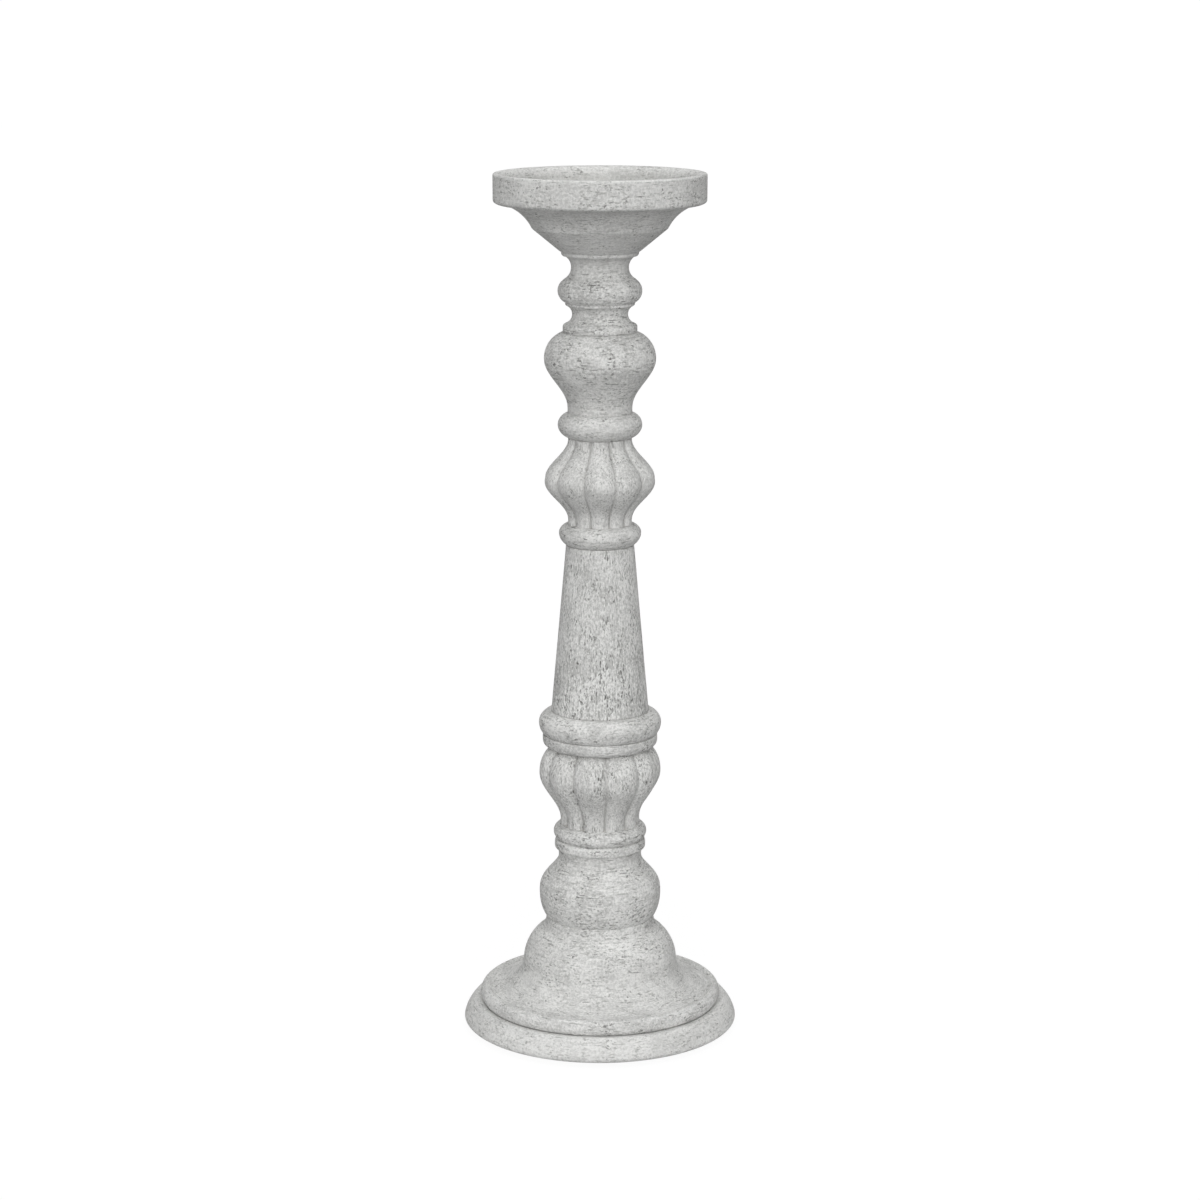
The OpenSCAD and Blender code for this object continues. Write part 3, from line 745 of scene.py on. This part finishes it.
# Felt: dense wool felt, needled and pressed, which gives a dull grey-brown face of tangled short fibres
feltShape = {"colour": "#4A4743", "fibre": "#6A665F", "fibreWidth": 0.35, "fibreLength": 1.6, "napDepth": 0.15,
             "roughness": 0.95, "sheen": 0.35, "sheenRoughness": 0.6, "specular": 0.2, "radius": 8,
             "thickness": 2.5, "edge": 0.35, "ring": 57, "count": 4, "fuzz": 0.1, "seed": 3,
             "pocketRadius": 8.1, "around": 72, "rings": 14}
feltFinish, tree, shader = newMaterial("pressed_wool_felt")
place = addNode(tree, "ShaderNodeTexCoord").outputs["Object"]
tangle = addNode(tree, "ShaderNodeTexNoise", {
    "Vector": place, "Scale": 1 / (feltShape["fibreLength"] * mm), "Detail": 4.0, "Roughness": 0.7,
    "Distortion": 1.5})
strands = addNode(tree, "ShaderNodeTexWave", {  # a wave of scale 1 repeats about every third of a unit
    "Vector": place, "Scale": 0.35 / (feltShape["fibreWidth"] * mm), "Distortion": 14.0, "Detail": 2.0,
    "Detail Scale": 1.5})
fibres = addNode(tree, "ShaderNodeMath", {0: tangle, 1: strands.outputs["Fac"]}, operation="MULTIPLY")
tint = addNode(tree, "ShaderNodeMapRange", {"Value": fibres, "From Min": 0.1, "From Max": 0.5})
tinted = addNode(tree, "ShaderNodeMix", {
    0: tint, 6: linearColour(feltShape["colour"]), 7: linearColour(feltShape["fibre"])}, data_type="RGBA")
bump = addNode(tree, "ShaderNodeBump", {
    "Strength": 0.9, "Distance": feltShape["napDepth"] * mm, "Height": fibres})
tree.links.new(tinted.outputs[2], shader.inputs["Base Color"])
tree.links.new(bump.outputs[0], shader.inputs["Normal"])
for label, key in (("Roughness", "roughness"), ("Sheen Weight", "sheen"), ("Sheen Roughness", "sheenRoughness"),
                   ("Specular IOR Level", "specular")):
    shader.inputs[label].default_value = feltShape[key]


def padTree():
    tree, source = newTree("setPads", (
        ("Pad", "Geometry"), ("Count", "Int"), ("Ring Radius", "Float"), ("Fuzz", "Float"), ("Seed", "Int"),
        ("Finish", "Material")))
    ring = addNode(tree, "GeometryNodeMeshCircle", {
        "Vertices": source["Count"], "Radius": source["Ring Radius"]})
    turned = addNode(tree, "GeometryNodeTransform", {"Geometry": ring, "Rotation": (0, 0, math.pi / 4)})
    pads = addNode(tree, "GeometryNodeInstanceOnPoints", {"Points": turned, "Instance": source["Pad"]})
    real = addNode(tree, "GeometryNodeRealizeInstances", {"Geometry": pads})
    place = addNode(tree, "GeometryNodeInputPosition")
    nap = addNode(tree, "ShaderNodeTexNoise", {
        "Vector": place, "W": source["Seed"], "Scale": 900.0, "Detail": 2.0},
                    noise_dimensions="4D").outputs["Fac"]
    nap = addNode(tree, "ShaderNodeMath", {0: nap, 1: -1.0}, operation="MULTIPLY")
    lift = addNode(tree, "ShaderNodeMath", {0: nap, 1: source["Fuzz"]}, operation="MULTIPLY")
    normal = addNode(tree, "GeometryNodeInputNormal")
    shift = addNode(tree, "ShaderNodeVectorMath", {0: normal, "Scale": lift}, operation="SCALE")
    moved = addNode(tree, "GeometryNodeSetPosition", {"Geometry": real, "Offset": shift})
    dressed = addNode(tree, "GeometryNodeSetMaterial", {"Geometry": moved, "Material": source["Finish"]})
    addNode(tree, "NodeGroupOutput", {"Result": dressed})
    return tree


def roundedDisc(radius, low, high, edge, rings):
    # Outline of a disc with softened edges and enough rings across its faces to hold a nap
    across = [(r, low) for r in np.linspace(0, radius - edge, rings)]
    return (across + ovalArc((radius - edge, low + edge), edge, edge, -90, 0, 4)[1:]
            + ovalArc((radius - edge, high - edge), edge, edge, 0, 90, 4)
            + [(r, high) for r in np.linspace(radius - edge, 0, rings)][1:])


setPads = padTree()
f = feltShape
padPlaces = {"Count": f["count"], "Ring Radius": f["ring"] * mm, "Seed": f["seed"], "Finish": feltFinish}
padOutline = roundedDisc(f["radius"], 0, f["thickness"], f["edge"], f["rings"])
padBlank = latheMesh("felt_pads_cut", padOutline, f["around"])
padMesh = applyTree(padBlank, setPads, dict(padPlaces, Fuzz=f["fuzz"] * mm))
placePiece(padMesh, "felt_pads", feltFinish)

# The plinth's underside is bored out for the pads
cutterOutline = [(0, -1), (f["pocketRadius"], -1), (f["pocketRadius"], f["thickness"]), (0, f["thickness"])]
cutterMesh = applyTree(latheMesh("pad_cutter", cutterOutline, f["around"]), setPads, dict(padPlaces, Fuzz=0.0))
cutter = bpy.data.objects.new("pad_cutter", cutterMesh)
blank = bpy.data.objects.new("plinth_blank", meshes["plinth"])
for item in (cutter, blank):
    scene.collection.objects.link(item)
boring = blank.modifiers.new("boring", "BOOLEAN")
boring.operation = "DIFFERENCE"
boring.solver = "EXACT"
boring.object = cutter
bored = blank.evaluated_get(bpy.context.evaluated_depsgraph_get())
meshes["plinth"] = bpy.data.meshes.new_from_object(bored)
meshes["plinth"].name = "plinth_turned"
blank.modifiers.remove(boring)
bpy.data.objects.remove(blank)
bpy.data.objects.remove(cutter)
smoothShade(meshes["plinth"])

for name in sections:
    placePiece(meshes[name], name, uprightFinish if name in grainUp else turnedFinish)
print("pads set, plinth bored")


# Steel: cold-drawn and turned steel with bright zinc plating, which gives a cool white-grey shine,
# clouded here and there where the plating is thicker
zincSteel = {"plate": "#C4C7C9", "cloud": "#A9ADB0", "cloudSize": 2.5, "scratchWidth": 0.12,
             "scratchRun": (120.0, 900.0),  # scratches per metre along the other two axes
             "scratchDepth": 0.01, "roughness": (0.28, 0.46)}
zincFinish, tree, shader = newMaterial("bright_zinc_plated_steel")
place = addNode(tree, "ShaderNodeTexCoord").outputs["Object"]
clouds = addNode(tree, "ShaderNodeTexNoise", {
    "Vector": place, "Scale": 1 / (zincSteel["cloudSize"] * mm), "Detail": 3.0})
drawn = addNode(tree, "ShaderNodeMapping", {
    "Vector": place, "Scale": (1 / (zincSteel["scratchWidth"] * mm), *zincSteel["scratchRun"])})
scratch = addNode(tree, "ShaderNodeTexNoise", {"Vector": drawn, "Scale": 1.0, "Detail": 2.0})
tinted = addNode(tree, "ShaderNodeMix", {
    0: clouds, 6: linearColour(zincSteel["plate"]), 7: linearColour(zincSteel["cloud"])}, data_type="RGBA")
smooth, dull = zincSteel["roughness"]
sheen = addNode(tree, "ShaderNodeMapRange", {
    "Value": clouds, "From Min": 0.3, "From Max": 0.7, "To Min": smooth, "To Max": dull})
bump = addNode(tree, "ShaderNodeBump", {
    "Strength": 0.5, "Distance": zincSteel["scratchDepth"] * mm, "Height": scratch})
tree.links.new(tinted.outputs[2], shader.inputs["Base Color"])
tree.links.new(sheen.outputs[0], shader.inputs["Roughness"])
tree.links.new(bump.outputs[0], shader.inputs["Normal"])
shader.inputs["Metallic"].default_value = 1

rodShape = {"radius": 3, "pitch": 1, "threadDepth": 0.55, "threadLength": 26, "runOut": 2, "chamfer": 0.5,
            "rowsPerPitch": 8, "around": 40}
threadSums = (  # read as the ribs' sums are
    ("angle", "ARCTAN2", "y", "x"),
    ("turns", "DIVIDE", "angle", 2 * math.pi),
    ("climb", "DIVIDE", "z", "Pitch"),
    ("share", "SUBTRACT", "climb", "turns"),
    ("share", "FRACT", "share"),
    ("flank", "MULTIPLY_ADD", "share", 2.0, -1.0),
    ("flank", "ABSOLUTE", "flank"),
)


def threadTree():
    tree, source = newTree("cutThread", (
        ("Blank", "Geometry"), ("Pitch", "Float"), ("Depth", "Float"), ("Finish", "Material")))
    known = {"Pitch": source["Pitch"]}
    place = addNode(tree, "GeometryNodeInputPosition")
    known["x"], known["y"], known["z"] = addNode(tree, "ShaderNodeSeparateXYZ", {0: place}).outputs
    for key, operation, *terms in threadSums:
        values = {i: known.get(term, term) for i, term in enumerate(terms)}
        known[key] = addNode(tree, "ShaderNodeMath", values, operation=operation)
    flat = addNode(tree, "ShaderNodeMapRange", {"Value": known["flank"], "From Min": 0.12, "From Max": 0.8})
    zone = addNode(tree, "GeometryNodeInputNamedAttribute", {"Name": "outer"}, data_type="FLOAT")
    cut = addNode(tree, "ShaderNodeMath", {0: flat, 1: zone.outputs["Attribute"]}, operation="MULTIPLY")
    cut = addNode(tree, "ShaderNodeMath", {0: cut, 1: source["Depth"]}, operation="MULTIPLY")
    axis = addNode(tree, "ShaderNodeCombineXYZ", {0: known["x"], 1: known["y"]})
    inward = addNode(tree, "ShaderNodeVectorMath", {0: axis}, operation="NORMALIZE")
    back = addNode(tree, "ShaderNodeMath", {0: cut, 1: -1.0}, operation="MULTIPLY")
    shift = addNode(tree, "ShaderNodeVectorMath", {0: inward, "Scale": back}, operation="SCALE")
    moved = addNode(tree, "GeometryNodeSetPosition", {"Geometry": source["Blank"], "Offset": shift})
    real = addNode(tree, "GeometryNodeRealizeInstances", {"Geometry": moved})
    dressed = addNode(tree, "GeometryNodeSetMaterial", {"Geometry": real, "Material": source["Finish"]})
    addNode(tree, "NodeGroupOutput", {"Result": dressed})
    return tree


r = rodShape
rodFoot, rodHead = [corner.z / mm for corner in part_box("tie_rod")]
rows = int(r["threadLength"] / r["pitch"] * r["rowsPerPitch"])
lowThread = np.linspace(rodFoot + r["chamfer"], rodFoot + r["threadLength"], rows)
highThread = np.linspace(rodHead - r["threadLength"], rodHead - r["chamfer"], rows)
shank = np.linspace(lowThread[-1], highThread[0], 12)[1:-1]
levels = np.concatenate([lowThread, shank, highThread])
fromEnd = np.minimum(levels - rodFoot, rodHead - levels)
zone = np.clip((r["threadLength"] - fromEnd) / r["runOut"], 0, 1)
tip = r["radius"] - r["chamfer"]
outline = [(0, rodFoot), (tip, rodFoot), *[(r["radius"], level) for level in levels],
           (tip, rodHead), (0, rodHead)]
rodBlank = latheMesh("tie_rod_threaded", outline, r["around"], {"outer": np.pad(zone, 2)})
rodMesh = applyTree(rodBlank, threadTree(), {
    "Pitch": r["pitch"] * mm, "Depth": r["threadDepth"] * mm, "Finish": zincFinish})
smoothShade(rodMesh, 30)
placePiece(rodMesh, "tie_rod", zincFinish)

washerShape = {"radius": 9, "hole": 3.2, "edge": 0.3, "burr": 0.08, "around": 96}
nutShape = {"flats": 10, "bore": 3, "countersink": 0.5, "cornerShare": 0.985, "chamferShare": 0.94,
            "chamferSlope": 0.5, "around": 120}


def washerOutline(low, high):
    # Stamped: the face that met the punch is rounded, the other keeps a sharper edge
    w = washerShape
    edge, burr = w["edge"], w["burr"]
    return (ovalArc((w["hole"] + edge, high - edge), edge, edge, 90, 180, 4)
            + [(w["hole"], low + burr), (w["hole"] + burr, low)]
            + [(w["radius"] - burr, low), (w["radius"], low + burr)]
            + ovalArc((w["radius"] - edge, high - edge), edge, edge, 0, 90, 4))


def nutMesh(name, low, high):
    # A hexagon whose corners are chamfered to a circle at both faces, bored and countersunk
    n = nutShape
    steps = n["around"]
    angle = np.linspace(0, 2 * math.pi, steps, endpoint=False)
    half, sixth = n["flats"] / 2, math.pi / 6
    corner = np.minimum(half / np.cos(np.mod(angle, 2 * sixth) - sixth),
                        half / math.cos(sixth) * n["cornerShare"])
    ring = np.full(steps, half * n["chamferShare"])
    drop = (corner - ring) * n["chamferSlope"]
    sink = n["countersink"]
    bore, wide = np.full(steps, n["bore"]), np.full(steps, n["bore"] + sink)
    rows = [(bore, low + sink), (wide, low), (ring, low), (corner, low + drop), (corner, high - drop),
            (ring, high), (wide, high), (bore, high - sink)]
    places = []
    for radius, level in rows:
        level = np.broadcast_to(level, steps)
        places += [(radius[k] * math.cos(angle[k]) * mm, radius[k] * math.sin(angle[k]) * mm, level[k] * mm)
                   for k in range(steps)]
    faces = []
    for i in range(len(rows)):
        above = (i + 1) % len(rows) * steps
        faces += [(i * steps + k, i * steps + (k + 1) % steps, above + (k + 1) % steps, above + k)
                  for k in range(steps)]
    mesh = bpy.data.meshes.new(name)
    mesh.from_pydata(places, [], faces)
    mesh.update()
    smoothShade(mesh, 20)
    return mesh


for end in ("foot", "head"):
    low, high = [corner.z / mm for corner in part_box(end + "_washer")]
    washer = latheMesh(end + "_washer_stamped", washerOutline(low, high), washerShape["around"])
    placePiece(washer, end + "_washer", zincFinish)
    low, high = [corner.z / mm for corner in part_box(end + "_nut")]
    placePiece(nutMesh(end + "_nut_chamfered", low, high), end + "_nut", zincFinish)

# Plug: a face-grain plug of pale hardwood, sanded and wiped with one thin coat of the white wash, which
# leaves straight yellow-grey growth lines showing across it
plugWood = {"pale": "#DAD7CE", "line": "#B3AA98", "pore": "#8C8373", "lineWidth": 0.9, "lineLength": 26,
            "poreWidth": 0.35, "poreLength": 3, "reliefDepth": 0.08, "roughness": (0.7, 0.85), "ior": 1.45,
            "radius": 10.9, "chamfer": 0.4, "around": 128}
plugFinish, tree, shader = newMaterial("washed_hardwood_plug")
place = addNode(tree, "ShaderNodeTexCoord").outputs["Object"]
lay = {}
for key, across, length in (("line", plugWood["lineWidth"], plugWood["lineLength"]),
                            ("pore", plugWood["poreWidth"], plugWood["poreLength"])):
    scaled = addNode(tree, "ShaderNodeMapping", {
        "Vector": place, "Scale": (1 / (length * mm), 1 / (across * mm), 1 / (across * mm))})
    lay[key] = addNode(tree, "ShaderNodeTexNoise", {
        "Vector": scaled, "Scale": 1.0, "Detail": 2.0}).outputs["Fac"]
tinted = linearColour(plugWood["pale"])
for key, start, full, share in (("line", 0.4, 0.62, 0.7), ("pore", 0.38, 0.3, 0.8)):
    part = addNode(tree, "ShaderNodeMapRange", {
        "Value": lay[key], "From Min": start, "From Max": full, "To Max": share})
    tinted = addNode(tree, "ShaderNodeMix", {0: part, 6: tinted, 7: linearColour(plugWood[key])},
                     data_type="RGBA").outputs[2]
bump = addNode(tree, "ShaderNodeBump", {
    "Strength": 0.8, "Distance": plugWood["reliefDepth"] * mm, "Height": lay["line"]})
smooth, dull = plugWood["roughness"]
rougher = addNode(tree, "ShaderNodeMapRange", {"Value": lay["line"], "To Min": smooth, "To Max": dull})
tree.links.new(tinted, shader.inputs["Base Color"])
tree.links.new(bump.outputs[0], shader.inputs["Normal"])
tree.links.new(rougher.outputs[0], shader.inputs["Roughness"])
shader.inputs["IOR"].default_value = plugWood["ior"]
low, high = [corner.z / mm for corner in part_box("cover_plug")]
edge = plugWood["chamfer"]
plugOutline = [(0, low), (plugWood["radius"] - edge, low), (plugWood["radius"], low + edge),
               (plugWood["radius"], high - edge), (plugWood["radius"] - edge, high), (0, high)]
plugMesh = latheMesh("cover_plug_turned", plugOutline, plugWood["around"], sharp=25)
placePiece(plugMesh, "cover_plug", plugFinish)
print("rod, nuts, washers and plug made")


stage = {  # metres and degrees
    "floorRadius": 8.5, "floorColour": "#666666", "floorLight": 0.9,
    "bounceRadius": 0.12, "bounceHeight": 0.0002, "bounceLight": 0.4,
    "backdropRadius": 9, "backdropReach": 85, "backdropLight": 1.02, "around": 96,
}


def stageObject(name, places, faces, material):
    mesh = bpy.data.meshes.new(name)
    mesh.from_pydata(places, [], faces)
    mesh.materials.append(material)
    piece = bpy.data.objects.new(name, mesh)
    scene.collection.objects.link(piece)
    return piece


def discOutline(radius, height):
    # Places and the one face of a flat disc, in metres
    around = stage["around"]
    turns = [2 * math.pi * i / around for i in range(around)]
    return [(radius * math.cos(a), radius * math.sin(a), height) for a in turns], [list(range(around))]


def glowMaterial(name, strength):
    material, tree = newMaterial(name)[:2]
    tree.nodes.clear()
    glow = addNode(tree, "ShaderNodeEmission", {"Color": (1, 1, 1, 1), "Strength": strength})
    addNode(tree, "ShaderNodeOutputMaterial", {"Surface": glow})
    return material


# Floor: matt white paper, lit evenly enough to show almost no edge against the backdrop
paper, tree, shader = newMaterial("white_studio_paper")
shader.inputs["Base Color"].default_value = linearColour(stage["floorColour"])
shader.inputs["Roughness"].default_value = 1
shader.inputs["Specular IOR Level"].default_value = 0
shader.inputs["Emission Color"].default_value = (1, 1, 1, 1)
shader.inputs["Emission Strength"].default_value = stage["floorLight"]
floor = stageObject("floor", *discOutline(stage["floorRadius"], 0), paper)
floor.visible_diffuse = False

# Light that the table throws back up, close round the foot
bounce = stageObject("table_bounce", *discOutline(stage["bounceRadius"], stage["bounceHeight"]),
                     glowMaterial("table_bounce", stage["bounceLight"]))
bounce.visible_camera = bounce.visible_glossy = bounce.visible_shadow = False

# Backdrop: a white globe round everything, seen by the camera only
rows, columns, globe = 35, 72, stage["backdropRadius"]
grid = [(globe * math.cos(a) * math.cos(b), globe * math.cos(a) * math.sin(b), globe * math.sin(a))
        for a in np.radians(np.linspace(-stage["backdropReach"], stage["backdropReach"], rows))
        for b in np.radians(np.linspace(0, 360, columns, endpoint=False))]
faces = [(r * columns + c, (r + 1) * columns + c, (r + 1) * columns + (c + 1) % columns,
          r * columns + (c + 1) % columns) for r in range(rows - 1) for c in range(columns)]
faces += [list(range(columns)), [(rows - 1) * columns + c for c in reversed(range(columns))]]
backdrop = stageObject("backdrop", grid, faces, glowMaterial("white_backdrop", stage["backdropLight"]))
backdrop.visible_diffuse = backdrop.visible_glossy = backdrop.visible_transmission = False
backdrop.visible_shadow = backdrop.visible_volume_scatter = False

studio = {
    "ambient": 0.222,
    "lamps": {  # elevation, turn from the camera's side to the right, softness in degrees, strength
        "overhead": (88, 0, 70, 1.11),
        "front": (15, 0, 50, 1.75),
        "left": (30, -60, 50, 0.25),
        "right": (30, 60, 50, 0.24),
        "rear": (15, 180, 40, 0.4),
    },
}
for name, (elevation, turn, softness, strength) in studio["lamps"].items():
    light = bpy.data.lights.new(name, "SUN")
    light.angle = math.radians(softness)
    light.energy = strength
    lamp = bpy.data.objects.new(name, light)
    scene.collection.objects.link(lamp)
    lamp.location = (0, 0, 2)
    lamp.rotation_euler = (math.radians(90 - elevation), 0, math.radians(turn))
world = bpy.data.worlds.new("soft_studio")
scene.world = world
world.use_nodes = True
world.node_tree.nodes["Background"].inputs["Color"].default_value = (1, 1, 1, 1)
world.node_tree.nodes["Background"].inputs["Strength"].default_value = studio["ambient"]
scene.view_settings.view_transform = "Standard"

cameraSet = {"distance": 1.580, "height": 0.574, "tilt": 77.85, "lens": 91.77, "sensor": 36}
camera = bpy.data.objects.new("camera", bpy.data.cameras.new("camera"))
scene.collection.objects.link(camera)
camera.location = (0, -cameraSet["distance"], cameraSet["height"])
camera.rotation_euler = (math.radians(cameraSet["tilt"]), 0, 0)
camera.data.lens = cameraSet["lens"]
camera.data.sensor_width = cameraSet["sensor"]
scene.camera = camera
